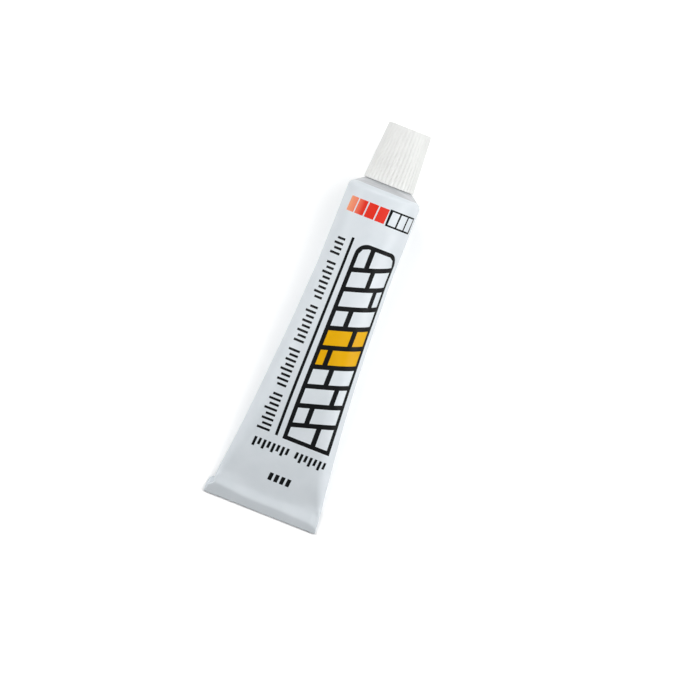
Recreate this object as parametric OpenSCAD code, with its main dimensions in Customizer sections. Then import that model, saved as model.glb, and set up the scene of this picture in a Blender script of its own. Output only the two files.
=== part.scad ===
// Small collapsible metal tube of sealant with a fluted screw cap, lying on its back.
// The tube is drawn upright first: the folded end at height 0, the cap at the top,
// the printed front towards -Y. It is then laid down on its straight underside.

/* [Tube] */
// Outer diameter of the round barrel
tube_d = 25; // [21:0.5:32]
// Length from the folded end to the barrel's top edge
tube_len = 112.2; // [100:0.2:140]
// Height at which the back reaches the barrel's full radius
back_len = 85; // [60:1:92]
// Height at which the front reaches the barrel's full radius
front_len = 81; // [55:1:90]
// Slope of the shoulder, in degrees from flat
shoulder_angle = 35; // [20:1:45]
// Radius of the edge between barrel and shoulder
shoulder_round = 2; // [0.5:0.25:3]

/* [Fold] */
// Height of the folded strip
fold_h = 5.8; // [5:0.1:8]
// Thickness of the flattened tube, which is two walls
sheet_t = 0.3; // [0.2:0.02:0.4]
// Air between two layers of the fold
fold_gap = 0.08; // [0.05:0.01:0.15]
// Distance from the folded end to the hidden free edge
fold_tuck = 1.2; // [1:0.1:2]
// How far the strip stands out past the tube on each side
fold_spread = 0.1; // [0:0.05:0.3]
// Height of the ridge where the front bends in to the end
ridge_h = 3; // [2:0.1:4]
// How far the ridge stands out from the tube's middle
ridge_out = 1.95; // [0.9:0.05:2.5]
// Height over which the back rises from the sheet to the straight underside
fold_blend = 2.5; // [2.5:0.5:8]

/* [Neck and thread] */
// Outer diameter of the neck's thread
thread_d = 11; // [10:0.1:12]
// Depth of the thread on the neck and in the cap
thread_depth = 0.8; // [0.5:0.05:1]
// Rise of the thread in one turn
thread_pitch = 2; // [1.8:0.1:2.5]
// Turns of thread on the neck
neck_turns = 3; // [2:0.25:3]
// Turns of thread in the cap
cap_turns = 2; // [1:0.25:2.5]
// Width of a thread at its root
thread_root_w = 1.2; // [0.9:0.05:1.3]
// Width of a thread at its crest
thread_crest_w = 0.5; // [0.3:0.05:0.6]
// Height from the shoulder to where the neck's thread starts
thread_start = 0.9; // [0.7:0.1:1.5]
// Height of the neck above the shoulder, at the thread's outside
neck_h = 8.4; // [8:0.1:10]
// Bevel on the neck's rim
rim_bevel = 0.5; // [0.2:0.1:0.7]
// Diameter of the mouth
mouth_d = 6.6; // [4:0.1:7.5]
// Depth of the mouth down to its closed membrane
mouth_depth = 0.8; // [0.4:0.1:2]

/* [Cap] */
// Diameter of the cap at its foot, over the flutes
cap_foot_d = 17.4; // [16:0.1:20]
// Diameter of the cap at its top, over the flutes
cap_top_d = 14.8; // [14.2:0.1:17]
// Height of the cap
cap_h = 19.75; // [17:0.25:23]
// Number of flutes round the cap
flutes = 38; // [24:1:60]
// Depth of a flute at the cap's foot
flute_depth = 0.38; // [0.15:0.01:0.5]
// Depth of a flute at the cap's top
flute_top_depth = 0.22; // [0.1:0.01:0.5]
// Radius of the cap's top edge
cap_round = 0.4; // [0.3:0.1:0.8]
// Width of the flat ring under the cap's skirt
foot_w = 0.45; // [0.4:0.05:0.8]
// Air between the cap's skirt and the shoulder
cap_gap = 0.2; // [0.15:0.05:0.5]
// Air between the threads, from crest to root
thread_gap = 0.2; // [0.12:0.02:0.3]
// Thickness of the floor between the bore and the recess on top
cap_floor = 1.2; // [0.8:0.1:2]
// Diameter of the recess in the cap's top, which takes the neck for piercing
recess_d = 11.8; // [11.4:0.1:12.4]
// Diameter of the spike at its foot
spike_d = 2.8; // [2:0.1:4]
// How far the spike's point stays below the cap's top
spike_below = 1.4; // [0.5:0.1:3]

/* [Sealing disc] */
// Thickness of the disc
disc_t = 1; // [0.6:0.1:1.5]
// Air round the disc, in the cap's bore
disc_gap = 0.25; // [0.1:0.05:0.5]

/* [Hidden] */
$fn = 96;

tube_r = tube_d / 2;
thread_r = thread_d / 2;
neck_r = thread_r - thread_depth;
cap_foot_r = cap_foot_d / 2;
cap_top_r = cap_top_d / 2;

// Small overlap that joins two shapes of one solid
bite = 0.15;
// The tapered part ends this far inside the turned barrel
inset = 0.03;

// Points round the tapered part, a multiple of 4
round_points = 72;
// Sections of the tapered part
taper_rings = 24;
// Half the height over which the ridge is blunted
ridge_soft = 0.25;
// Straight pieces in one turn of thread
turn_steps = 36;
// Angle over which a thread rises out of its wall
thread_lead = 40;

// Three layers of flattened tube
fold_half = (3 * sheet_t + 2 * fold_gap) / 2;
// Middle of the front layer, measured to the back
sheet_mid = sheet_t / 2 - fold_half;
// The front starts to leave the front layer at this height
end_h = fold_half;
// The nearly flat band above the ridge, and how softly it goes over into the swell
band_slope = 0.04;
band_soft = 0.3;
// The swell starts at this height, and the larger its power the fuller it is
swell_h = fold_h + 0.4;
swell_power = 2.3;
taper_r = tube_r - inset;
// Angle between the tube's axis and its straight underside
tilt = atan((taper_r - fold_half) / back_len);
// The turned barrel starts here, above both ends of the taper
barrel_z = max(back_len, front_len) + 1.5;

// Height of the shoulder's cone at a radius
function shoulder_z(r) = tube_len + (tube_r - r) * tan(shoulder_angle);

rim_z = shoulder_z(thread_r) + neck_h;
thread_z = shoulder_z(thread_r) + thread_start;
foot_in = cap_foot_r - foot_w;
foot_z = shoulder_z(foot_in) + cap_gap;
cap_z = foot_z + cap_h;
bore_r = thread_r + thread_gap;
ceiling_z = rim_z + disc_t;
recess_z = ceiling_z + cap_floor;
spike_z = cap_z - spike_below;

// Far end of the lying tube, used to centre it
far_y = cap_z * cos(tilt) + (cap_top_r - cap_round) * sin(tilt);

// Shapes of the tapered part

function clamp01(q) = min(max(q, 0), 1);
function ease(q) = q * q * (3 - 2 * q);

// Distance from the axis to the front. Below the ridge it runs straight in to the end.
// Above, it goes over from a nearly flat band into a curve that ends on the barrel.
function band(h) = ridge_out + band_slope * (h - ridge_h);
function swell(h) =
    let (q = (h - swell_h) / (front_len - swell_h))
    let (rise = q < 0 ? swell_power * q : 1 - pow(1 - min(q, 1), swell_power))
    band(swell_h) + (taper_r - band(swell_h)) * rise;
function above_ridge(h) =
    let (gap = swell(h) - band(h))
    let (soft = h < front_len / 2 ? band_soft : 0)
    (swell(h) + band(h) + sqrt(gap * gap + soft * soft)) / 2;
function front(h) =
    h < ridge_h
        ? fold_half + (ridge_out - fold_half) * (h - end_h) / (ridge_h - end_h)
        : above_ridge(h);

// Distance from the axis to the back: straight, because the tube lies on it,
// and drawn in to the sheet where the folded strip lies behind it
function underside(h) = fold_half + (taper_r - fold_half) * min(h / back_len, 1);
function back(h) =
    let (q = ease(clamp01((h - fold_h) / fold_blend)))
    sheet_mid + (underside(h) - sheet_mid) * q;

// A point of a flattened circle: flat in front and behind, round at both sides.
// s is the length along the wall from the middle of the front, half is half the thickness.
// The wall keeps its length in every section, because a metal tube only bends.
function wall_point(s, half) =
    let (flat = PI * (taper_r - half) / 2)
    let (u = abs(s))
    let (turn = PI * half)
    let (a = (u - flat) / half * 180 / PI)
    let (side = s < 0 ? -1 : 1)
    u <= flat ? [s, -half] :
    u < flat + turn ? [side * (flat + half * sin(a)), -half * cos(a)] :
    [side * (2 * flat + turn - u), half];

function wall_ring(z, half, middle) = [
    for (k = [0 : round_points - 1])
        let (s = 2 * PI * taper_r * (k / round_points - 0.5))
        let (p = wall_point(s, half))
        [p[0], p[1] + middle, z]
];

function taper_ring(h) =
    wall_ring(h, (front(h) + back(h)) / 2, (back(h) - front(h)) / 2);

// Heights of the sections above the folded strip, closer together near it
function taper_h(i) = fold_h + (max(back_len, front_len) - fold_h) * pow(i / taper_rings, 1.4);

// Solids made of rings

function middle_of(ring) = [for (p = ring) 1] * ring / len(ring);

// Closed skin over rings of points that each run anticlockwise, stacked upwards.
// Each end is a fan of triangles round its middle.
module skin(rings) {
    n = len(rings[0]);
    last = len(rings) - 1;
    middles = [middle_of(rings[0]), middle_of(rings[last])];
    points = concat([for (ring = rings) each ring], middles);
    low = len(points) - 2;
    high = len(points) - 1;
    sides = [
        for (i = [0 : last - 1])
            for (k = [0 : n - 1])
                let (m = (k + 1) % n)
                each [
                    [i * n + k, (i + 1) * n + k, (i + 1) * n + m],
                    [i * n + k, (i + 1) * n + m, i * n + m]
                ]
    ];
    ends = [
        for (k = [0 : n - 1])
            let (m = (k + 1) % n)
            each [
                [low, k, m],
                [high, last * n + m, last * n + k]
            ]
    ];
    polyhedron(points, concat(sides, ends), convexity = 6);
}

// Right-hand thread between a wall and a crest radius, faded out at both ends
module thread(wall_r, crest_r, z, turns) {
    steps = round(turns * turn_steps);
    out = sign(crest_r - wall_r);
    sunk_r = wall_r - out * bite;
    slope = (thread_root_w - thread_crest_w) / 2 / abs(crest_r - wall_r);
    skin([
        for (i = [0 : steps])
            let (a = i * 360 / turn_steps)
            let (rise = min(1, 0.05 + min(i, steps - i) * 360 / turn_steps / thread_lead))
            let (r = wall_r + (crest_r - wall_r) * rise)
            let (w = thread_root_w / 2 - abs(r - wall_r) * slope)
            let (w_sunk = thread_root_w / 2 + bite * slope)
            let (mid = z + thread_pitch * a / 360)
            let (profile = out > 0
                ? [[sunk_r, -w_sunk], [sunk_r, w_sunk], [r, w], [r, -w]]
                : [[r, -w], [r, w], [sunk_r, w_sunk], [sunk_r, -w_sunk]])
            [for (p = profile) [p[0] * cos(a), p[0] * sin(a), mid + p[1]]]
    ]);
}

// Tube

// Points along a half turn of the sheet, on one side of its middle line
function half_turn(y, z, r, from, to) = [
    for (i = [0 : 12])
        let (a = from + (to - from) * i / 12)
        [y + r * cos(a), z + r * sin(a)]
];

// Section of the fold: the sheet runs down the front, round the end, up the back,
// over the top and down again into the middle
module fold_section() {
    layer = sheet_t + fold_gap;
    top_z = fold_h - layer / 2 - sheet_t / 2;
    end_z = layer + sheet_t / 2;
    outer = concat(
        [[-layer - sheet_t / 2, fold_h]],
        half_turn(0, end_z, layer + sheet_t / 2, 180, 360),
        half_turn(layer / 2, top_z, layer / 2 + sheet_t / 2, 0, 180),
        [[-sheet_t / 2, fold_tuck]]
    );
    inner = concat(
        [[sheet_t / 2, fold_tuck]],
        half_turn(layer / 2, top_z, layer / 2 - sheet_t / 2, 180, 0),
        half_turn(0, end_z, layer - sheet_t / 2, 360, 180),
        [[-layer + sheet_t / 2, fold_h]]
    );
    polygon(concat(outer, inner));
}

module fold() {
    width = PI * tube_r + 2 * fold_spread;
    rotate([90, 0, 90])
        linear_extrude(width, center = true)
            fold_section();
}

// From the flat sheet at the end, over the ridge, to the round barrel
module taper() {
    ridge = [
        end_h,
        end_h + (ridge_h - end_h) / 2,
        ridge_h - ridge_soft,
        ridge_h + ridge_soft,
        (ridge_h + fold_h) / 2
    ];
    skin(concat(
        [wall_ring(end_h - inset, sheet_t / 4, sheet_mid)],
        [for (h = ridge) taper_ring(h)],
        [for (i = [0 : taper_rings]) taper_ring(taper_h(i))],
        [wall_ring(barrel_z + 1, taper_r, 0)]
    ));
}

// Barrel, shoulder and neck are one turned shape, with the membrane at the neck's mouth
module barrel_and_neck() {
    tangent = shoulder_round * tan((90 - shoulder_angle) / 2);
    edge_z = tube_len - tangent;
    rounded = [
        for (i = [0 : 6])
            let (a = (90 - shoulder_angle) * i / 6)
            [tube_r - shoulder_round * (1 - cos(a)), edge_z + shoulder_round * sin(a)]
    ];
    rotate_extrude()
        polygon(concat(
            [[0, barrel_z], [tube_r, barrel_z]],
            rounded,
            [
                [neck_r, shoulder_z(neck_r)],
                [neck_r, rim_z - rim_bevel],
                [neck_r - rim_bevel, rim_z],
                [mouth_d / 2, rim_z],
                [mouth_d / 2, rim_z - mouth_depth],
                [0, rim_z - mouth_depth]
            ]
        ));
}

module tube_body() {
    color("gainsboro") {
        fold();
        taper();
        barrel_and_neck();
        thread(neck_r, thread_r, thread_z, neck_turns);
    }
}

// Cap

// Ring of the fluted outside: two points on each ridge and two in each flute
function fluted_ring(r, z, depth) = [
    for (k = [0 : 4 * flutes - 1])
        let (a = (k + 0.5) * 90 / flutes)
        let (s = r - (k % 4 < 2 ? 0 : depth))
        [s * cos(a), s * sin(a), z]
];

module cap_outside() {
    edge_z = cap_z - cap_round;
    skin(concat(
        [fluted_ring(cap_foot_r, foot_z, flute_depth)],
        [
            for (i = [0 : 4])
                let (a = 90 * i / 4)
                let (r = cap_top_r - cap_round * (1 - cos(a)))
                fluted_ring(r, edge_z + cap_round * sin(a), flute_top_depth * cos(a))
        ]
    ));
}

// Space under the skirt, which follows the shoulder, and the bore for the neck
module cap_bore() {
    rotate_extrude()
        polygon([
            [0, foot_z - 1],
            [foot_in, foot_z - 1],
            [foot_in, foot_z],
            [bore_r, foot_z + (foot_in - bore_r) * tan(shoulder_angle)],
            [bore_r, ceiling_z],
            [0, ceiling_z]
        ]);
}

// Recess in the top, left full where the spike stands
module cap_recess() {
    rotate_extrude()
        polygon([
            [spike_d / 2, recess_z],
            [recess_d / 2, recess_z],
            [recess_d / 2, cap_z + 1],
            [0, cap_z + 1],
            [0, spike_z],
            [0.2, spike_z - 0.3],
            [spike_d / 2, recess_z + 1]
        ]);
}

module screw_cap() {
    color("whitesmoke") {
        difference() {
            cap_outside();
            cap_bore();
            cap_recess();
        }
        thread(bore_r, neck_r + thread_gap, thread_z + thread_pitch / 2, cap_turns);
    }
}

// Sealing disc

module sealing_disc() {
    color("white")
        translate([0, 0, rim_z])
            cylinder(h = disc_t, r = bore_r - disc_gap);
}

// Laid down

// Turns the upright tube onto its back: cap towards +Y, printed front up
module laid() {
    translate([0, -far_y / 2, fold_half * cos(tilt)])
        rotate([tilt - 90, 0, 0])
            children();
}

laid() tube_body();
laid() screw_cap();
laid() sealing_disc();
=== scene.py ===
# A collapsible metal tube of sealant with a fluted screw cap, lying on its back.
# Shapes are made upright in millimetres, with the folded end at height 0 and the printed
# front towards -Y, and are then laid down into the frame of the CAD model.
import math

import bmesh
import bpy
from mathutils import Matrix, Vector, noise
from mathutils.geometry import delaunay_2d_cdt


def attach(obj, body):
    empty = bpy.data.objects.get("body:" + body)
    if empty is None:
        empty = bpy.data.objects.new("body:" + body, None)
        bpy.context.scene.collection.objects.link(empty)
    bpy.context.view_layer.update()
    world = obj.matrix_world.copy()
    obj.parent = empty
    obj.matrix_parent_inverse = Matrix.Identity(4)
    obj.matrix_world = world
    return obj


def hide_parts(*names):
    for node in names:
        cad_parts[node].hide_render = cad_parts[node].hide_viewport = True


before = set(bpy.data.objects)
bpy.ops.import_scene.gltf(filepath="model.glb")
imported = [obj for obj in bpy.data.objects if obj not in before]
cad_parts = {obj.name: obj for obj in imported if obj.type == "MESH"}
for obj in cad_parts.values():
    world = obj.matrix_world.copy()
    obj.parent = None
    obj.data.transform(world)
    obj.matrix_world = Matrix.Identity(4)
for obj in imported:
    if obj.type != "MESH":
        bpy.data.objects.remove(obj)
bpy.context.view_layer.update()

# Sizes of the CAD model, in millimetres and degrees
TUBE_R = 12.5
TUBE_LEN = 112.2
BACK_LEN = 85.0
FRONT_LEN = 81.0
SHOULDER_ANGLE = 35.0
SHOULDER_ROUND = 2.0
FOLD_H = 5.8
RIDGE_H = 3.0
RIDGE_OUT = 1.95
BAND_SLOPE = 0.04
BAND_SOFT = 0.3
SHEET_T = 0.3
FOLD_GAP = 0.08
FOLD_TUCK = 1.2
FOLD_BLEND = 2.5
THREAD_R = 5.5
THREAD_DEPTH = 0.8
THREAD_PITCH = 2.0
NECK_TURNS = 3.0
CAP_TURNS = 2.0
THREAD_ROOT_W = 1.2
THREAD_CREST_W = 0.5
THREAD_START = 0.9
THREAD_GAP = 0.2
THREAD_LEAD = 40.0
NECK_H = 8.4
RIM_BEVEL = 0.5
MOUTH_R = 3.3
MOUTH_DEPTH = 0.8
CAP_FOOT_R = 8.7
CAP_TOP_R = 7.4
CAP_H = 19.75
FLUTES = 38
FLUTE_DEPTH = 0.38
CAP_ROUND = 0.4
FOOT_W = 0.45
CAP_GAP = 0.2
CAP_FLOOR = 1.2
RECESS_R = 5.9
SPIKE_R = 1.4
SPIKE_BELOW = 1.4
DISC_T = 1.0
INSET = 0.03
SWELL_POWER = 2.3

# Sizes that follow from them
NECK_R = THREAD_R - THREAD_DEPTH
FOLD_HALF = (3 * SHEET_T + 2 * FOLD_GAP) / 2
SHEET_MID = SHEET_T / 2 - FOLD_HALF
SWELL_H = FOLD_H + 0.4
REST_R = TUBE_R - INSET
TILT = math.atan((REST_R - FOLD_HALF) / BACK_LEN)
SLOPE = math.tan(math.radians(SHOULDER_ANGLE))


def shoulder_z(r):
    """Height of the cone at a distance from the axis."""
    return TUBE_LEN + (TUBE_R - r) * SLOPE


RIM_Z = shoulder_z(THREAD_R) + NECK_H
THREAD_Z = shoulder_z(THREAD_R) + THREAD_START
FOOT_IN = CAP_FOOT_R - FOOT_W
FOOT_Z = shoulder_z(FOOT_IN) + CAP_GAP
CAP_Z = FOOT_Z + CAP_H
BORE_R = THREAD_R + THREAD_GAP
CEILING_Z = RIM_Z + DISC_T
RECESS_Z = CEILING_Z + CAP_FLOOR
SPIKE_Z = CAP_Z - SPIKE_BELOW
EDGE_Z = TUBE_LEN - SHOULDER_ROUND * math.tan(math.radians(90 - SHOULDER_ANGLE) / 2)
FAR_Y = CAP_Z * math.cos(TILT) + (CAP_TOP_R - CAP_ROUND) * math.sin(TILT)

# Directions of the lying tube: along it to the cap, and out of its front
AXIS = Vector((0, math.cos(TILT), math.sin(TILT)))
FRONT = Vector((0, -math.sin(TILT), math.cos(TILT)))
ACROSS = Vector((1, 0, 0))
FOLD_END = Vector((0, -FAR_Y / 2, FOLD_HALF * math.cos(TILT))) / 1000


def laid(x, y, z):
    """A point of the upright tube, in millimetres, to its place in the frame."""
    return FOLD_END + (ACROSS * x - FRONT * y + AXIS * z) / 1000


def ramp(low, high, x):
    """0 below low, 1 above high, and smooth between."""
    q = min(max((x - low) / (high - low), 0), 1)
    return q * q * (3 - 2 * q)


# Form of the tube

GIRTH = 2 * math.pi * TUBE_R
# The lower face of the fold leaves the round bottom of the sheet at this angle and height
FACE_TILT = math.radians(28.7)
END_H = FOLD_HALF * (1 - math.sin(FACE_TILT))
END_OUT = FOLD_HALF * math.cos(FACE_TILT)
RIDGE_SOFT = 0.22
# How much higher the band above the ridge reaches at the right
BAND_LATE = 1.2
# How far the ridge is lifted at the left, and lowered towards the right and at its end
LIFT_LEFT = 0.45
DROP_RIGHT = 0.2
DROP_END = 0.3


def upper_front(s, h):
    """The front above the ridge: a nearly flat band that swells up to the barrel."""
    late = BAND_LATE * ramp(3, 14, s) * (1 - ramp(8.5, 15, h))
    q = (h - late - SWELL_H) / (FRONT_LEN - SWELL_H)
    rise = SWELL_POWER * q if q < 0 else 1 - (1 - min(q, 1)) ** SWELL_POWER
    base = RIDGE_OUT + BAND_SLOPE * (SWELL_H - RIDGE_H)
    swell = base + (TUBE_R - base) * rise
    band = RIDGE_OUT + BAND_SLOPE * (h - RIDGE_H)
    soft = BAND_SOFT * (1 - ramp(20, 40, h))
    return (swell + band + math.hypot(swell - band, soft)) / 2


def ridge_lift(s, h):
    """How much higher the band above the ridge stands at the left, and lower at the right."""
    left = LIFT_LEFT * ramp(5, 17, -s)
    right = DROP_RIGHT * ramp(4, 16, s) + DROP_END * ramp(16, 18.6, s)
    return (left - right) * (1 - ramp(5.5, 10, h))


def front_at(s, h):
    """Distance from the axis to the front, with a soft ridge in the fold."""
    rise = (RIDGE_OUT - END_OUT) / (RIDGE_H - END_H)
    lower = END_OUT + rise * (h - END_H)
    upper = upper_front(s, h) + ridge_lift(s, h)
    soft = RIDGE_SOFT * ramp(0.4, 2.0, h) * (1 - ramp(6, 10, h))
    return (lower + upper - math.hypot(lower - upper, soft)) / 2


def back_at(h):
    """Distance from the axis to the straight underside that the tube lies on."""
    line = FOLD_HALF + (REST_R - FOLD_HALF) * min(h / BACK_LEN, 1)
    line += INSET * ramp(BACK_LEN, BACK_LEN + 4, h)
    return SHEET_MID + (line - SHEET_MID) * ramp(FOLD_H, FOLD_H + FOLD_BLEND, h)


# Soft dents of the metal: (along the wall, height, reach along, reach up, depth)
DENTS = (
    (-9.0, 74.0, 5.0, 10.0, -0.22),
    (-3.0, 60.0, 7.0, 9.0, -0.16),
    (8.5, 52.0, 5.0, 12.0, -0.12),
    (2.0, 99.0, 6.0, 2.6, -0.07),
    (-7.0, 92.0, 5.0, 6.0, 0.05),
    (10.0, 88.0, 5.0, 9.0, -0.08),
    (-5.0, 16.0, 6.0, 4.0, 0.10),
    (16.0, 9.0, 2.6, 1.5, -0.12),
    (-12.0, 24.0, 4.0, 7.0, -0.12),
    (24.0, 60.0, 8.0, 12.0, -0.12),
    (-27.0, 40.0, 7.0, 10.0, -0.10),
)
# Heights of the metal's unevenness, coarse and fine, and of the wave in its folded edge
UNEVEN = 0.05
UNEVEN_FINE = 0.02
EDGE_WAVE = 0.06


def dent(s, h):
    """How far the metal stands out of its ideal form, in millimetres."""
    out = 0.0
    for along, up, reach, rise, depth in DENTS:
        out += depth * math.exp(-(((s - along) / reach) ** 2) - ((h - up) / rise) ** 2)
    a = 2 * math.pi * s / GIRTH
    place = Vector((1.6 * math.cos(a), 1.6 * math.sin(a), h / 9))
    out += UNEVEN * noise.noise(place)
    out += UNEVEN_FINE * noise.noise(place * 2.7)
    return out * ramp(5.5, 8.5, h) * (1 - ramp(104, 110, h))


def wave(x):
    """The folded end isn't quite straight."""
    return EDGE_WAVE * noise.noise(Vector((x / 7, 3.1, 0)))


# How far the left side is pushed in, the wall leans to the right above the fold, and the
# right side of the fold and its lower corner are drawn in
PINCH = 1.1
LEAN_RIGHT = 0.36
TUCK_RIGHT = 0.28
CORNER_IN = 0.2


def pinch(h):
    """How far the left side of the wall is pushed in above the bottom face of the fold."""
    return PINCH * ramp(2.4, 4.2, h) * (1 - ramp(5.6, 8.4, h))


def corner_in(h):
    """How far the lower right corner is drawn in."""
    return CORNER_IN * (1 - ramp(-0.1, 0.8, h)) ** 2


def sideways(x, h):
    """Where a place across the tube goes: the tube isn't quite even at its sides."""
    out = LEAN_RIGHT * ramp(6, 8, h) * (1 - ramp(16, 45, h))
    out += pinch(h) * ramp(16.5, 19, -x)
    out -= TUCK_RIGHT * ramp(4, 6, h) * (1 - ramp(6.2, 7.8, h)) * ramp(15, 19, x)
    out -= corner_in(h) * ramp(18, 19.5, x)
    return x + out


def wall_point(s, h):
    """A point of the tube's wall: s runs along the wall from the middle of the front."""
    front = front_at(s, h)
    back = back_at(h)
    half = (front + back) / 2
    middle = (back - front) / 2
    flat = math.pi * (TUBE_R - half) / 2
    side = -1 if s < 0 else 1
    u = abs(s)
    if u <= flat:
        x, y, nx, ny = u, -half, 0.0, -1.0
    elif u < flat + math.pi * half:
        a = (u - flat) / half
        nx, ny = math.sin(a), -math.cos(a)
        x, y = flat + half * nx, half * ny
    else:
        x, y, nx, ny = 2 * flat + math.pi * half - u, half, 0.0, 1.0
    # The underside stays as it is, because the tube lies on it
    d = dent(s, h) * (1 - ramp(-0.1, 0.2, ny))
    x = side * (x + nx * d)
    return laid(sideways(x, h), y + ny * d + middle, h + wave(x) * (1 - ramp(3, 9, h)))


# Print, as shapes on the tube's unrolled wall: (ink, corners as (along, height))

LACQUER, BLACK, RED, YELLOW, METAL = range(5)
prints = []


def shape(ink, *corners):
    """Adds one outline, turned anticlockwise where it is given clockwise."""
    area = sum(a[0] * b[1] - b[0] * a[1] for a, b in zip(corners, corners[1:] + corners[:1]))
    prints.append((ink, list(corners if area > 0 else corners[::-1])))


def block(ink, s0, h0, s1, h1, lean=0.0):
    """A bar whose upper end leans sideways."""
    shape(ink, (s0, h0), (s1, h0), (s1 + lean, h1), (s0 + lean, h1))


def blocks(count, pitch, ink, s0, h0, s1, h1, lean):
    """A row of equal bars, told by the first of them."""
    for i in range(count):
        block(ink, s0 + pitch * i, h0, s1 + pitch * i, h1, lean)


def band():
    """Red leaning blocks, then a black field with open blocks."""
    blocks(4, 3.75, RED, -11.4, 103.0, -8.1, 108.1, 0.35)
    block(BLACK, 3.75, 102.7, 15.6, 108.4)
    blocks(3, 3.6, LACQUER, 4.5, 103.3, 7.4, 107.85, 0.25)


def ticks():
    """A scale of long and short strokes beside the rule."""
    low, high, pitch = 26.2, 94.5, 1.72
    h = low
    count = 0
    while h < high:
        # Every ninth stroke is left out
        if count % 9 != 8:
            short = (0.0, 1.2, 0.4, 1.2)[count % 4]
            block(BLACK, -11.4 + short, h, -6.9, h + 0.8)
        h += pitch
        count += 1


# The panel's left, bottom, right and top, its frame, and the joints between its blocks
PANEL = (-2.2, 25.8, 14.4, 95.0)
FRAME_W = 1.4
JOINT = 1.65
# How much a course rises for each millimetre across
COURSE_LEAN = 0.3
# Where the joint in each course stands, as a share of its width
SPLITS = (0.64, 0.32, 0.72, 0.42, 0.22, 0.62, 0.34, 0.76, 0.5, 0.3)
YELLOW_COURSES = (4, 5)
# Radius of the field's upper corners, and how much of the topmost blocks they take off
CORNER_R = 4.2
CORNER_CUT = 2.6


def cut_corner(s, h, inward):
    """Points that take an upper corner off, from its side to its top."""
    near = CORNER_CUT * 0.3
    return [(s, h - CORNER_CUT), (s + inward * near, h - near), (s + inward * CORNER_CUT, h)]


def panel_field():
    """The black field of the panel, with rounded upper corners."""
    s0, h0, s1, h1 = PANEL
    r = CORNER_R
    corners = [(s0, h0), (s1, h0)]
    for s, start in ((s1 - r, 0), (s0 + r, 90)):
        corners += [
            (s + r * math.cos(math.radians(a)), h1 - r + r * math.sin(math.radians(a)))
            for a in range(start, start + 91, 9)
        ]
    shape(BLACK, *corners)


def panel_bricks():
    """Leaning courses of two open blocks each, in the panel's frame."""
    s0, h0, s1, h1 = PANEL
    left, right = s0 + FRAME_W, s1 - FRAME_W
    mid = (left + right) / 2
    bottom, top = h0 + FRAME_W, h1 - FRAME_W
    last = len(SPLITS) - 1
    course = (top - bottom + JOINT) / len(SPLITS)

    def edge(i, s, side):
        """Height of a course's lower or upper edge at a place across it."""
        level = bottom + course * (i + side) - (JOINT if side else 0)
        flat = (i == 0 and not side) or (i == last and side)
        return level if flat else level + COURSE_LEAN * (s - mid)

    for i, share in enumerate(SPLITS):
        split = left + (right - left) * share
        ink = YELLOW if i in YELLOW_COURSES else LACQUER
        for a, b in ((left, split - JOINT / 2), (split + JOINT / 2, right)):
            block_corners = [(a, edge(i, a, 0)), (b, edge(i, b, 0))]
            if i == last and b == right:
                block_corners += cut_corner(right, top, -1)
            else:
                block_corners.append((b, edge(i, b, 1)))
            if i == last and a == left:
                block_corners += cut_corner(left, top, 1)[::-1]
            else:
                block_corners.append((a, edge(i, a, 1)))
            shape(ink, *block_corners)


def lines():
    """A rule beside the panel, and two rows of strokes below it."""
    block(BLACK, -4.9, 26.0, -3.95, 95.4)
    pitch = 1.62
    strokes = 16
    for i in range(strokes):
        # The row has a gap in its middle
        if i == strokes // 2:
            continue
        low = 20.1 + (0.0, 0.9)[i % 2]
        block(BLACK, -11.0 + pitch * i, low, -10.1 + pitch * i, 23.3, 0.25)
    blocks(4, 2.05, BLACK, -2.0, 11.3, -0.7, 13.9, 0.2)


band()
ticks()
panel_field()
panel_bricks()
lines()


# Mesh building


class Shell:
    """Points and faces of one object, gathered piece by piece."""

    def __init__(self):
        self.points = []
        self.faces = []
        self.inks = []
        self.flat = []

    def add(self, points, faces, ink=LACQUER, flat=None):
        """Adds faces over points, with one ink or a list of them, and places on the wall."""
        first = len(self.points)
        self.points += points
        self.flat += flat or [(0.0, 0.0)] * len(points)
        self.faces += [[first + i for i in face] for face in faces]
        self.inks += ink if isinstance(ink, list) else [ink] * len(faces)

    def grid(self, rows, ink=LACQUER, flat=None):
        """A sheet over rows of points, each closed into a ring."""
        n = len(rows[0])
        faces = []
        inks = []
        for i in range(len(rows) - 1):
            for k in range(n):
                m = (k + 1) % n
                faces.append([i * n + k, i * n + m, (i + 1) * n + m, (i + 1) * n + k])
                inks.append(ink[i] if isinstance(ink, list) else ink)
        self.add([p for row in rows for p in row], faces, inks, flat)

    def fan(self, rim, middle, ink=LACQUER):
        """Closes a ring with triangles round a middle point."""
        n = len(rim)
        faces = [[k, (k + 1) % n, n] for k in range(n)]
        self.add(rim + [middle], faces, ink)

    def step_down(self, fine, coarse, inwards=False):
        """Joins a ring of points to one with a third as many."""
        n = len(coarse)
        faces = []
        for k in range(n):
            outer = [3 * k, 3 * k + 1, 3 * k + 2, (3 * k + 3) % (3 * n)]
            face = outer + [3 * n + (k + 1) % n, 3 * n + k]
            faces.append(face[::-1] if inwards else face)
        self.add(fine + coarse, faces)

    def build(self, name, materials, sharp):
        """Makes the object, with edges sharper than an angle in degrees left unsmoothed."""
        mesh = bpy.data.meshes.new(name)
        mesh.from_pydata([tuple(p) for p in self.points], [], self.faces)
        for m in materials:
            mesh.materials.append(m)
        mesh.polygons.foreach_set("material_index", self.inks)
        layer = mesh.uv_layers.new(name="wall")
        index = [0] * len(mesh.loops)
        mesh.loops.foreach_get("vertex_index", index)
        layer.data.foreach_set("uv", [c for i in index for c in self.flat[i]])
        piece = bpy.data.objects.new(name, mesh)
        bpy.context.scene.collection.objects.link(piece)
        weld(mesh)
        mesh.shade_smooth()
        mesh.set_sharp_from_angle(angle=math.radians(sharp))
        return piece


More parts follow.
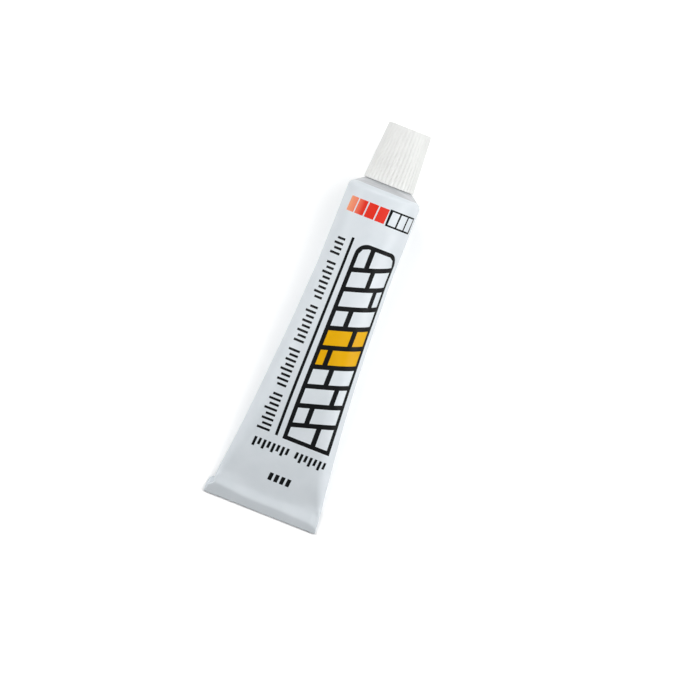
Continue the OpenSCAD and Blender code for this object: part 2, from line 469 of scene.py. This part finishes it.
def weld(mesh):
    """Joins points that lie on each other."""
    bm = bmesh.new()
    bm.from_mesh(mesh)
    bmesh.ops.remove_doubles(bm, verts=bm.verts, dist=1e-6)
    bmesh.ops.dissolve_degenerate(bm, edges=bm.edges, dist=1e-7)
    bm.to_mesh(mesh)
    bm.free()


# Columns of the wall, and its rows: fine ones over the fold, wider ones above
COLUMNS = 192
FOLD_ROWS = 34
FOLD_ROWS_H = 7.0
ROWS = 180
# Longest edge of a printed outline
STEP = 0.4


def row_h(i):
    """Height of a row of the wall."""
    low = END_H - 0.04
    if i <= FOLD_ROWS:
        return low + (FOLD_ROWS_H - low) * i / FOLD_ROWS
    return FOLD_ROWS_H + (EDGE_Z - FOLD_ROWS_H) * (i - FOLD_ROWS) / (ROWS - FOLD_ROWS)


def short_steps(corners):
    """The same outline, with no edge longer than a step."""
    out = []
    for i, a in enumerate(corners):
        b = corners[(i + 1) % len(corners)]
        n = max(1, math.ceil(math.dist(a, b) / STEP))
        out += [
            (a[0] + (b[0] - a[0]) * j / n, a[1] + (b[1] - a[1]) * j / n)
            for j in range(n)
        ]
    return out


def printed_wall(shell):
    """The wall as one sheet, cut along the edges of the print."""
    points = []
    for i in range(ROWS + 1):
        for k in range(COLUMNS + 1):
            points.append(Vector((GIRTH * (k / COLUMNS - 0.5), row_h(i))))
    outlines = []
    for ink, corners in prints:
        loop = short_steps(corners)
        outlines.append(list(range(len(points), len(points) + len(loop))))
        points += [Vector(p) for p in loop]
    cut = delaunay_2d_cdt(points, [], outlines, 0, 1e-4, True)
    flat, faces, within = cut[0], cut[2], cut[5]
    # Where outlines lie over each other, the last one drawn is on top
    inks = [prints[max(ids)][0] if ids else LACQUER for ids in within]
    shell.add(
        [wall_point(p.x, p.y) for p in flat],
        [list(face) for face in faces],
        inks,
        [(p.x / GIRTH + 0.5, p.y / TUBE_LEN) for p in flat],
    )
    close_low_end(shell)


def close_low_end(shell):
    """Joins the front to the back at the wall's lowest row, inside the folded sheet."""
    low = [wall_point(GIRTH * (k / COLUMNS - 0.5), row_h(0)) for k in range(COLUMNS)]
    faces = []
    for j in range(-COLUMNS // 4, COLUMNS // 4):
        front = COLUMNS // 2 + j
        face = [-j % COLUMNS, (-j - 1) % COLUMNS, front + 1, front]
        # The front and the back share a point at each side
        faces.append(list(dict.fromkeys(face)))
    shell.add(low, faces)


def ring(r, z, columns=COLUMNS):
    """A ring of points round the axis, from the middle of the back; r may be a function."""
    out = []
    for k in range(columns):
        a = 2 * math.pi * (k / columns - 0.5)
        radius = r(a) if callable(r) else r
        out.append(laid(radius * math.sin(a), -radius * math.cos(a), z))
    return out


def thread_height(a, z, turns, start):
    """Share of the thread's depth at an angle and a height, for a right-hand thread."""
    best = 0.0
    # Angle anticlockwise from +X, where the thread starts
    around = (a - math.pi / 2) % (2 * math.pi)
    for turn in range(int(turns) + 2):
        total = around + 2 * math.pi * turn
        if total > turns * 2 * math.pi:
            break
        far = abs(z - start - THREAD_PITCH * total / (2 * math.pi))
        flank = (THREAD_ROOT_W / 2 - far) / ((THREAD_ROOT_W - THREAD_CREST_W) / 2)
        ends = math.degrees(min(total, turns * 2 * math.pi - total)) / THREAD_LEAD
        best = max(best, min(max(flank, 0), 1) * min(1, ends))
    return best * best * (3 - 2 * best)


def threaded(r, depth, z, turns, start):
    """Radius round a thread at one height; the depth is negative for an inner thread."""

    def at(a):
        return r + depth * thread_height(a, z, turns, start)

    return at


def shoulder_edge():
    """Rings of the rounded edge from the barrel to the cone."""
    rows = []
    steps = 8
    for i in range(steps + 1):
        a = math.radians((90 - SHOULDER_ANGLE) * i / steps)
        r = TUBE_R - SHOULDER_ROUND * (1 - math.cos(a))
        rows.append(ring(r, EDGE_Z + SHOULDER_ROUND * math.sin(a)))
    return rows


# Where the cone's last plain ring lies, and how far the neck's fillet reaches out
NECK_FOOT_R = 6.3
NECK_FILLET = 0.45
NECK_ROWS = 76


def cone_and_neck():
    """Rings of the cone and of the threaded neck up to its rim."""
    rows = []
    cone_r = TUBE_R - SHOULDER_ROUND * (1 - math.cos(math.radians(90 - SHOULDER_ANGLE)))
    for share in (0.12, 0.3, 0.6, 1.0):
        r = cone_r + (NECK_FOOT_R - cone_r) * share
        rows.append(ring(r, shoulder_z(r)))
    # A small fillet leads from the cone into the neck
    rows.append(ring(NECK_R + NECK_FILLET, shoulder_z(NECK_R + NECK_FILLET)))
    rows.append(ring(NECK_R + 0.1, shoulder_z(NECK_R + 0.1) + 0.1))
    top = RIM_Z - RIM_BEVEL
    low = shoulder_z(NECK_R) + 0.35
    for i in range(NECK_ROWS + 1):
        z = low + (top - low) * i / NECK_ROWS
        rows.append(ring(threaded(NECK_R, THREAD_DEPTH, z, NECK_TURNS, THREAD_Z), z))
    return rows


def neck_mouth():
    """Rings of the rim and of the recessed membrane that closes the mouth."""
    floor = RIM_Z - MOUTH_DEPTH
    profile = (
        (NECK_R - 0.18, RIM_Z - 0.24),
        (NECK_R - RIM_BEVEL, RIM_Z),
        (MOUTH_R + 0.15, RIM_Z),
        (MOUTH_R, RIM_Z - 0.12),
        (MOUTH_R, floor + 0.15),
        (MOUTH_R - 0.15, floor),
        (MOUTH_R * 0.5, floor - 0.05),
    )
    return [ring(r, z) for r, z in profile]


def shoulder_and_neck(shell):
    """The turned end of the tube: edge, cone, threaded neck and closed mouth."""
    edge = shoulder_edge()
    bare = cone_and_neck() + neck_mouth()
    shell.grid(edge + bare, [LACQUER] * len(edge) + [METAL] * len(bare))
    shell.fan(bare[-1], laid(0, 0, RIM_Z - MOUTH_DEPTH - 0.06), METAL)


# Steps across the fold, share of it that rounds off each end, and steps of each bend
FOLD_STATIONS = 120
FOLD_ROUND = 0.008
BEND_STEPS = 12
# How far the back layers spring away at their upper edge, and how much that varies
SPRING = 0.1
SPRING_VARIES = 0.14
# How far the free edge in front ends below the top of the fold
FREE_EDGE = 0.4
# Where the folded layers end at the left and the right
LEFT_END = -19.78
RIGHT_END = 19.6


def fold_line(x):
    """Middle line of the folded sheet at a place along the fold, from the hidden edge."""
    layer = SHEET_T + FOLD_GAP
    top_z = FOLD_H - layer / 2 - SHEET_T / 2
    end_z = layer + SHEET_T / 2
    lift = SPRING_VARIES * noise.noise(Vector((x / 9, 8.4, 0))) + SPRING
    # Up the hidden layer, over the first bend, and down behind it
    line = [(0.0, FOLD_TUCK + (top_z - FOLD_TUCK) * i / 5) for i in range(5)]
    for i in range(BEND_STEPS + 1):
        a = math.pi * i / BEND_STEPS
        line.append((layer / 2 - layer / 2 * math.cos(a), top_z + layer / 2 * math.sin(a)))
    line += [(layer, top_z + (end_z - top_z) * i / 8) for i in range(1, 8)]
    # Round the second bend at the bottom, and up the front to the free edge
    for i in range(BEND_STEPS + 1):
        a = math.pi * i / BEND_STEPS
        line.append((layer * math.cos(a), end_z - layer * math.sin(a)))
    line += [(-layer, end_z + (FOLD_H - FREE_EDGE - end_z) * i / 10) for i in range(1, 11)]
    out = []
    for y, z in line:
        # The back layers spring away a little towards their upper edge
        if y > -0.05:
            y += lift * ramp(0.8, FOLD_H, z)
        out.append((y, z + wave(x)))
    return out


def fold_ends(y, z):
    """Left and right end of the folded layers: corners and front layers are drawn in."""
    left = LEFT_END + 0.3 * ramp(2.5, 4.8, z) + ramp(4.6, FOLD_H + 0.1, z)
    left += pinch(z) * (1 - ramp(0.1, 0.25, y))
    right = RIGHT_END - 0.65 * ramp(1.0, 4.0, z) - 0.6 * ramp(4.6, FOLD_H + 0.1, z)
    return left, right - corner_in(z)


def fold_stations():
    """Places along the fold, from -1 to 1, with their share of the sheet's thickness."""
    edge = [(-1.0 + FOLD_ROUND * (1 - math.cos(a)), math.sin(a)) for a in (0.15, 0.5, 0.9, 1.25)]
    inner = 1.0 - FOLD_ROUND
    stations = list(edge)
    stations += [(-inner + 2 * inner * i / FOLD_STATIONS, 1.0) for i in range(FOLD_STATIONS + 1)]
    stations += [(-t, share) for t, share in reversed(edge)]
    return stations


def sheet_section(line, half):
    """Outline of the sheet round its middle line, half its thickness away."""
    one_side, other_side = [], []
    for i, (y, z) in enumerate(line):
        a = line[max(i - 1, 0)]
        b = line[min(i + 1, len(line) - 1)]
        along = Vector((b[0] - a[0], b[1] - a[1])).normalized()
        one_side.append((y + along.y * half, z - along.x * half))
        other_side.append((y - along.y * half, z + along.x * half))
    return one_side + other_side[::-1]


def fold(shell):
    """The flattened end, folded over twice, with soft ends to its layers."""
    rows = []
    flat = []
    for t, share in fold_stations():
        line = fold_line(t * math.pi * TUBE_R / 2)
        row = []
        for y, z in sheet_section(line, SHEET_T / 2 * share):
            left, right = fold_ends(y, z)
            x = (left + right) / 2 + t * (right - left) / 2
            row.append(laid(x, y, z))
            flat.append((x / GIRTH + 0.5, z / TUBE_LEN))
        rows.append(row)
    shell.grid(rows, LACQUER, flat)
    n = len(rows[0]) // 2
    ends = [[i, i + 1, 2 * n - 2 - i, 2 * n - 1 - i] for i in range(n - 1)]
    shell.add(rows[0], [face[::-1] for face in ends])
    shell.add(rows[-1], ends)


# Cap


def taper_r(z):
    """Radius of the cap over its flutes."""
    return CAP_FOOT_R + (CAP_TOP_R - CAP_FOOT_R) * (z - FOOT_Z) / (CAP_H - CAP_ROUND)


def fluted(r, depth):
    """Radius round the cap: rounded ridges with narrower grooves between them."""

    def at(a):
        return r - depth * ramp(-0.25, 1.0, math.cos(FLUTES * a))

    return at


FLUTE_COLUMNS = 12 * FLUTES
BORE_COLUMNS = FLUTE_COLUMNS // 3
SKIRT_ROWS = 24
BORE_ROWS = 84
# The flutes are shallower at the top than those of the CAD model
FLUTE_TOP_DEPTH = 0.1
# Soft lips at the cap's foot and round its recess
FOOT_LIP = 0.14
RECESS_LIP = 0.12


def cap_outside(shell):
    """Foot, fluted skirt and top edge."""
    rows = [ring(FOOT_IN, FOOT_Z, FLUTE_COLUMNS)]
    for i in range(4):
        a = math.radians(30 * i)
        r = taper_r(FOOT_Z) - FOOT_LIP * (1 - math.sin(a))
        z = FOOT_Z + FOOT_LIP * (1 - math.cos(a))
        rows.append(ring(fluted(r, FLUTE_DEPTH), z, FLUTE_COLUMNS))
    edge_z = CAP_Z - CAP_ROUND
    for i in range(1, SKIRT_ROWS):
        share = i / SKIRT_ROWS
        z = FOOT_Z + FOOT_LIP + (edge_z - FOOT_Z - FOOT_LIP) * share
        depth = FLUTE_DEPTH + (FLUTE_TOP_DEPTH - FLUTE_DEPTH) * share
        rows.append(ring(fluted(taper_r(z), depth), z, FLUTE_COLUMNS))
    for i in range(9):
        a = math.radians(90 * i / 8)
        r = CAP_TOP_R - CAP_ROUND * (1 - math.cos(a))
        depth = FLUTE_TOP_DEPTH * math.cos(a) if i < 8 else 0.0
        rows.append(ring(fluted(r, depth), edge_z + CAP_ROUND * math.sin(a), FLUTE_COLUMNS))
    rows.append(ring(RECESS_R + RECESS_LIP, CAP_Z, FLUTE_COLUMNS))
    shell.grid(rows)


def cap_recess(shell):
    """Recess in the top with the spike that pierces the tube's membrane."""
    profile = (
        (RECESS_R + 0.04, CAP_Z - 0.04),
        (RECESS_R, CAP_Z - 0.14),
        (RECESS_R - 0.02, CAP_Z - 2.5),
        (RECESS_R - 0.05, RECESS_Z + 0.4),
        (RECESS_R - 0.16, RECESS_Z + 0.12),
        (RECESS_R - 0.45, RECESS_Z),
        (SPIKE_R + 0.5, RECESS_Z),
        (SPIKE_R + 0.12, RECESS_Z + 0.12),
        (SPIKE_R, RECESS_Z + 0.45),
        (SPIKE_R - 0.02, RECESS_Z + 1.0),
        (SPIKE_R - 0.5, RECESS_Z + 2.9),
        (0.34, SPIKE_Z - 0.6),
        (0.12, SPIKE_Z - 0.12),
        (0.05, SPIKE_Z - 0.02),
    )
    rows = [ring(r, z, BORE_COLUMNS) for r, z in profile]
    shell.step_down(ring(RECESS_R + RECESS_LIP, CAP_Z, FLUTE_COLUMNS), rows[0])
    shell.grid(rows)
    shell.fan(rows[-1], laid(0, 0, SPIKE_Z))


def cap_bore(shell):
    """Underside of the cap: the space over the shoulder and the threaded bore."""
    start = THREAD_Z + THREAD_PITCH / 2
    low = FOOT_Z + (FOOT_IN - BORE_R) * SLOPE
    rows = [ring(BORE_R, low, BORE_COLUMNS)]
    shell.step_down(ring(FOOT_IN, FOOT_Z, FLUTE_COLUMNS), rows[0], True)
    for i in range(1, BORE_ROWS + 1):
        z = low + (CEILING_Z - low) * i / BORE_ROWS
        r = threaded(BORE_R, -THREAD_DEPTH, z, CAP_TURNS, start)
        rows.append(ring(r, z, BORE_COLUMNS))
    shell.grid([row[::-1] for row in rows])
    shell.fan(rows[-1][::-1], laid(0, 0, CEILING_Z))


# Materials


def linear(red, green, blue):
    """A colour as a screen shows it, 0 to 255, for the shader."""
    out = []
    for c in (red, green, blue):
        c /= 255
        out.append(c / 12.92 if c <= 0.04045 else ((c + 0.055) / 1.055) ** 2.4)
    return (*out, 1.0)


class Finish:
    """One material and the nodes that make it."""

    def __init__(self, name, roughness, metallic=0.0, specular=0.5):
        self.material = bpy.data.materials.new(name)
        self.material.use_nodes = True
        self.tree = self.material.node_tree
        self.shader = self.tree.nodes["Principled BSDF"]
        self.shader.inputs["Roughness"].default_value = roughness
        self.shader.inputs["Metallic"].default_value = metallic
        self.shader.inputs["Specular IOR Level"].default_value = specular
        self.place = self.tree.nodes.new("ShaderNodeTexCoord").outputs["Object"]

    def node(self, kind):
        return self.tree.nodes.new(kind)

    def link(self, a, b):
        self.tree.links.new(a, b)

    def stretched(self, x, y, z):
        """Object coordinates, stretched for grain with a direction."""
        mapping = self.node("ShaderNodeMapping")
        mapping.inputs["Scale"].default_value = (x, y, z)
        self.link(self.place, mapping.inputs["Vector"])
        return mapping.outputs["Vector"]

    def noise(self, scale, detail=2.0, place=None):
        """Noise with a number of patches to the metre."""
        made = self.node("ShaderNodeTexNoise")
        made.inputs["Scale"].default_value = scale
        made.inputs["Detail"].default_value = detail
        self.link(place or self.place, made.inputs["Vector"])
        return made.outputs["Fac"]

    def spread(self, fac, low, high):
        """Turns noise into values from low to high."""
        made = self.node("ShaderNodeMapRange")
        made.inputs["From Min"].default_value = 0.3
        made.inputs["From Max"].default_value = 0.7
        made.inputs["To Min"].default_value = low
        made.inputs["To Max"].default_value = high
        self.link(fac, made.inputs["Value"])
        return made.outputs["Result"]

    def colour(self, fac, low, high, low_at=0.3, high_at=0.7):
        """A colour between two, by a value."""
        made = self.node("ShaderNodeValToRGB")
        made.color_ramp.elements[0].position = low_at
        made.color_ramp.elements[0].color = low
        made.color_ramp.elements[1].position = high_at
        made.color_ramp.elements[1].color = high
        self.link(fac, made.inputs["Fac"])
        self.link(made.outputs["Color"], self.shader.inputs["Base Color"])

    def bump(self, height, distance, strength):
        """Raises the surface by a value, to a height in metres."""
        made = self.node("ShaderNodeBump")
        made.inputs["Distance"].default_value = distance
        made.inputs["Strength"].default_value = strength
        self.link(height, made.inputs["Height"])
        self.link(made.outputs["Normal"], self.shader.inputs["Normal"])


# Patches to the metre: of the colour, of the roughness and of the orange peel
MOTTLE = 140
SHEEN = 420
PEEL = 900


def lacquer(name, roughness, specular):
    """Printed or plain lacquer over aluminium, with a faint orange peel."""
    made = Finish(name, roughness[0], 0.0, specular)
    made.link(made.spread(made.noise(SHEEN, 3.0), *roughness), made.shader.inputs["Roughness"])
    made.bump(made.noise(PEEL), 0.00001, 0.6)
    return made


def mottled_lacquer(name, roughness, specular, low, high):
    """Lacquer whose colour varies a little between two."""
    made = lacquer(name, roughness, specular)
    made.colour(made.noise(MOTTLE, 3.0), linear(*low), linear(*high))
    return made


# Where on the wall the red ink is still orange, and where it is fully red
FADE_FROM = 0.5 - 11.5 / GIRTH
FADE_TO = 0.5 - 5.0 / GIRTH


def fading_ink(name, roughness, specular, low, high):
    """Ink that goes over from one colour to another along the wall."""
    made = lacquer(name, roughness, specular)
    wall_map = made.node("ShaderNodeUVMap")
    wall_map.uv_map = "wall"
    split = made.node("ShaderNodeSeparateXYZ")
    made.link(wall_map.outputs["UV"], split.inputs["Vector"])
    made.colour(split.outputs["X"], linear(*low), linear(*high), FADE_FROM, FADE_TO)
    return made


def turned_metal():
    """Bare aluminium with fine grooves round the axis."""
    made = Finish("bare_aluminium", 0.5, 0.55)
    broad = made.noise(160, 2.0, made.stretched(1, 14, 1))
    made.colour(broad, linear(186, 188, 191), linear(204, 206, 209))
    made.bump(made.noise(700, 2.0, made.stretched(1, 9, 1)), 0.00001, 0.5)
    return made


def satin_plastic():
    """White moulded plastic with a soft sheen."""
    made = Finish("cap_plastic", 0.42)
    made.colour(made.noise(220), linear(229, 230, 228), linear(233, 234, 232))
    made.link(made.spread(made.noise(500), 0.38, 0.48), made.shader.inputs["Roughness"])
    made.bump(made.noise(1600), 0.000008, 0.5)
    return made


def soft_foam():
    """Pale foam with open pores."""
    made = Finish("disc_foam", 0.8)
    made.colour(made.noise(1800, 3.0), linear(226, 226, 220), linear(238, 238, 233))
    made.bump(made.noise(2600), 0.00003, 0.7)
    return made


INK_ROUGHNESS = (0.3, 0.4)
plain = mottled_lacquer("tube_lacquer", (0.36, 0.46), 0.5, (218, 225, 230), (224, 230, 235))
black = mottled_lacquer("ink_black", INK_ROUGHNESS, 0.07, (8, 10, 12), (14, 16, 18))
yellow = mottled_lacquer("ink_yellow", INK_ROUGHNESS, 0.12, (232, 172, 0), (238, 180, 2))
red = fading_ink("ink_red", INK_ROUGHNESS, 0.25, (250, 166, 122), (229, 40, 14))
metal = turned_metal()
plastic = satin_plastic()
foam = soft_foam()


# Pieces

tube_shell = Shell()
printed_wall(tube_shell)
shoulder_and_neck(tube_shell)
fold(tube_shell)
finishes = (plain, black, red, yellow, metal)
tube = tube_shell.build("printed_tube", [f.material for f in finishes], sharp=35.0)
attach(tube, "tube")
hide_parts("tube_body")

cap_shell = Shell()
cap_outside(cap_shell)
cap_recess(cap_shell)
cap_bore(cap_shell)
cap = cap_shell.build("fluted_cap", [plastic.material], sharp=50.0)
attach(cap, "cap")
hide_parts("screw_cap")

disc_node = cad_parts["sealing_disc"]
disc_node.material_slots[0].material = foam.material


# Floor, light and camera

# The photo's size and scale, and where in it the middle of the fold's lower edge lies
PHOTO_PX = 677
PX_PER_MM = 3.05
FOLD_AT = (259.2, 512.6)
# How far the tube leans to the right in the photo
LEAN = math.radians(21.55)
FAR_MM = 2000.0
VIEW_TURN = math.radians(1.6)
SENSOR_MM = 36
LAMP_FAR = 1.1
LAMP_SIZE = 0.6
# Each lamp: name, direction across, along and before the tube, and power
LAMPS = (
    ("upper_right", (0.5, 0.5, 0.9), 3.3),
    ("upper_left", (-0.5, 0.5, 0.9), 5.1),
    ("right", (1.0, 0.2, 0.35), 5.6),
    ("left", (-1.0, 0.2, 0.35), 3.6),
    ("front", (0.3, 0.0, 1.0), 1.7),
)
WORLD_LIGHT = 0.06
FLOOR_SIZE = 40
FLOOR_BELOW = 0.00005
# The floor's level as it lights the object, and as the seen rays show it
FLOOR_PLAIN = 0.82
FLOOR_SHOWN = 1.25
# Distances from the object over which the floor turns plain white, in metres
WHITE_FROM = 0.12
WHITE_BEYOND = 0.4


def seen_ray(tree):
    """1 for rays from the camera, and for those that mirrors and glass send on."""
    path = tree.nodes.new("ShaderNodeLightPath")
    seen = path.outputs["Is Camera Ray"]
    for kind in ("Is Glossy Ray", "Is Transmission Ray"):
        either = tree.nodes.new("ShaderNodeMath")
        either.operation = "MAXIMUM"
        tree.links.new(seen, either.inputs[0])
        tree.links.new(path.outputs[kind], either.inputs[1])
        seen = either.outputs[0]
    return seen


def whiten_far_floor(tree, seen):
    """Makes the floor plain white where the lamps don't reach, for the seen rays alone."""
    place = tree.nodes.new("ShaderNodeTexCoord")
    far = tree.nodes.new("ShaderNodeVectorMath")
    far.operation = "LENGTH"
    tree.links.new(place.outputs["Object"], far.inputs[0])
    share = tree.nodes.new("ShaderNodeMapRange")
    share.inputs["From Min"].default_value = WHITE_FROM
    share.inputs["From Max"].default_value = WHITE_BEYOND
    tree.links.new(far.outputs["Value"], share.inputs["Value"])
    both = tree.nodes.new("ShaderNodeMath")
    both.operation = "MULTIPLY"
    tree.links.new(share.outputs["Result"], both.inputs[0])
    tree.links.new(seen, both.inputs[1])
    white = tree.nodes.new("ShaderNodeEmission")
    white.inputs["Color"].default_value = (1, 1, 1, 1)
    blend = tree.nodes.new("ShaderNodeMixShader")
    tree.links.new(both.outputs[0], blend.inputs[0])
    tree.links.new(tree.nodes["Principled BSDF"].outputs[0], blend.inputs[1])
    tree.links.new(white.outputs[0], blend.inputs[2])
    tree.links.new(blend.outputs[0], tree.nodes["Material Output"].inputs["Surface"])


def make_floor():
    """A pale floor that shows white and keeps the object's shadow."""
    bpy.ops.mesh.primitive_plane_add(size=FLOOR_SIZE, location=(0, 0, -FLOOR_BELOW))
    floor = bpy.context.object
    floor.name = "floor"
    material = bpy.data.materials.new("floor_paper")
    material.use_nodes = True
    tree = material.node_tree
    shader = tree.nodes["Principled BSDF"]
    shader.inputs["Roughness"].default_value = 0.9
    shader.inputs["Specular IOR Level"].default_value = 0.0
    mix = tree.nodes.new("ShaderNodeMix")
    mix.data_type = "RGBA"
    mix.inputs["A"].default_value = (FLOOR_PLAIN, FLOOR_PLAIN, FLOOR_PLAIN, 1)
    mix.inputs["B"].default_value = (FLOOR_SHOWN, FLOOR_SHOWN, FLOOR_SHOWN, 1)
    seen = seen_ray(tree)
    tree.links.new(seen, mix.inputs["Factor"])
    tree.links.new(mix.outputs["Result"], shader.inputs["Base Color"])
    whiten_far_floor(tree, seen)
    floor.data.materials.append(material)


def make_world():
    """A low plain light from all round, in front of a white background."""
    world = bpy.data.worlds.new("studio")
    bpy.context.scene.world = world
    world.use_nodes = True
    tree = world.node_tree
    back = tree.nodes["Background"]
    back.inputs["Color"].default_value = (1, 1, 1, 1)
    level = tree.nodes.new("ShaderNodeMapRange")
    level.inputs["To Min"].default_value = WORLD_LIGHT
    level.inputs["To Max"].default_value = 1.0
    tree.links.new(seen_ray(tree), level.inputs["Value"])
    tree.links.new(level.outputs["Result"], back.inputs["Strength"])


def make_lamp(name, towards, power):
    """A square soft lamp that looks at the tube, from across, along and before it."""
    across, along, before = towards
    place = ACROSS * across + AXIS * along + FRONT * before
    data = bpy.data.lights.new(name, "AREA")
    data.size = LAMP_SIZE
    data.energy = power
    lamp = bpy.data.objects.new(name, data)
    bpy.context.scene.collection.objects.link(lamp)
    lamp.location = place.normalized() * LAMP_FAR
    lamp.rotation_mode = "QUATERNION"
    lamp.rotation_quaternion = (-place).to_track_quat("-Z", "Y")


def make_camera():
    """Looks at the printed front, with the cap up and to the right."""
    data = bpy.data.cameras.new("camera")
    camera = bpy.data.objects.new("camera", data)
    bpy.context.scene.collection.objects.link(camera)
    right = ACROSS * math.cos(LEAN) + AXIS * math.sin(LEAN)
    up = AXIS * math.cos(LEAN) - ACROSS * math.sin(LEAN)
    half = PHOTO_PX / 2
    aim = FOLD_END + (
        right * (half - FOLD_AT[0]) + up * (FOLD_AT[1] - half)
    ) / PX_PER_MM / 1000
    # The camera stands a little towards the cap, so that it sees the cap's edges straight
    back = FRONT * math.cos(VIEW_TURN) + AXIS * math.sin(VIEW_TURN)
    side = up.cross(back).normalized()
    turn = Matrix((side, back.cross(side), back)).transposed().to_4x4()
    camera.matrix_world = Matrix.Translation(aim + back * FAR_MM / 1000) @ turn
    data.sensor_width = SENSOR_MM
    data.lens = FAR_MM * PX_PER_MM / PHOTO_PX * SENSOR_MM
    data.clip_start = 0.01
    data.clip_end = 20
    bpy.context.scene.camera = camera


make_floor()
make_world()
for name, towards, power in LAMPS:
    make_lamp(name, towards, power)
make_camera()
bpy.context.scene.view_settings.view_transform = "Standard"
